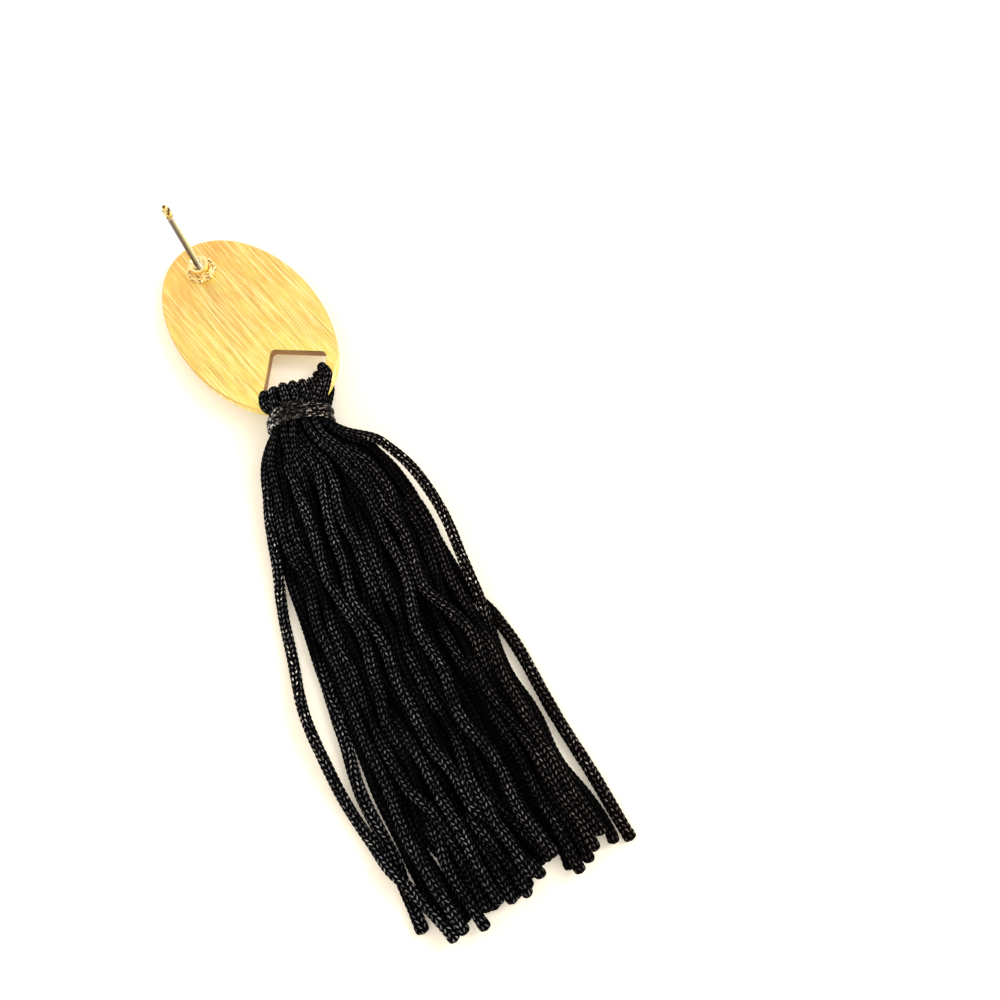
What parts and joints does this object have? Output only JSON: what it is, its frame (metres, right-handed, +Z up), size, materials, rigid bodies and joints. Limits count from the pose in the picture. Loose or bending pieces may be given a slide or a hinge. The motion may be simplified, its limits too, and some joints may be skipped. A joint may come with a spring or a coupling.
{
  "type": "tassel earring",
  "caption": "Drop earring lying face down: flat oval plate with a pointed window and an ear post, and a tassel of black braided cords looped over the rim and bound at the neck.",
  "frame": {"origin": "centre of the box of the whole earring in plan, on the surface that it lies on", "axes": "+Y from the tassel's tips to the plate's post end, +X to the side that the tassel leans away from, +Z up along the ear post, which leans 5 degrees towards +Y"},
  "size_m": [0.0328, 0.079, 0.0134],
  "materials": {
    "gold_plate": "pale gold plating on brass, brushed along the plate's length; the ear post is bare steel and the boss is polished",
    "cord": "black braided nylon cord with a satin glint",
    "thread": "glossy black sewing thread"
  },
  "bodies": {
    "root": {"oval_plate": "gold_plate", "tassel": "cord", "neck_wrap": "thread"}
  },
  "joints": []
}
